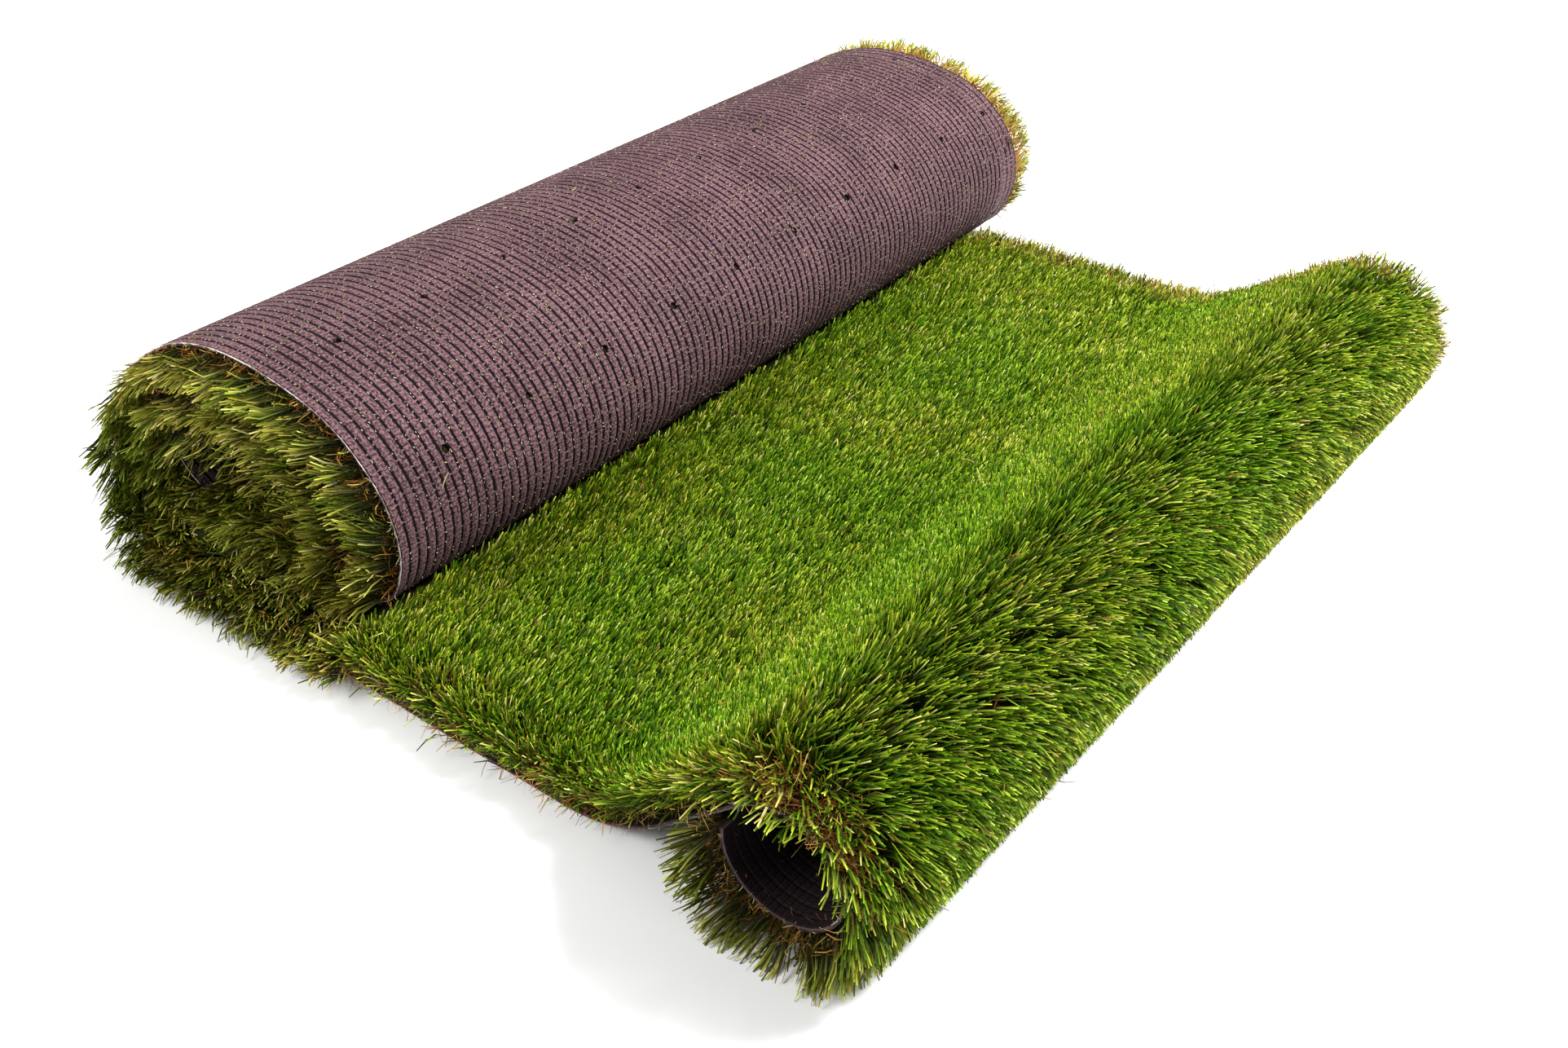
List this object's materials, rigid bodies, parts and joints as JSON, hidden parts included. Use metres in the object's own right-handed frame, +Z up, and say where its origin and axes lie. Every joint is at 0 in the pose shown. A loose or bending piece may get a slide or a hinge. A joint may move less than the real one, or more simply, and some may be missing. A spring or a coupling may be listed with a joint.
{
  "type": "roll of artificial grass",
  "caption": "Partly unrolled sheet of artificial grass: squashed roll with its backing outside, a flat stretch of pile, and a hump whose free end curls under.",
  "frame": {"origin": "on the floor, under the middle of the object's box", "axes": "+X the way the sheet unrolls, +Y along the roll, +Z up"},
  "size_m": [0.9186, 1.118, 0.2188],
  "materials": {
    "backing": "matte coated weave",
    "pile": "satin blades"
  },
  "bodies": {
    "root": {"backing_sheet": "backing", "grass_pile": "pile"}
  },
  "joints": []
}
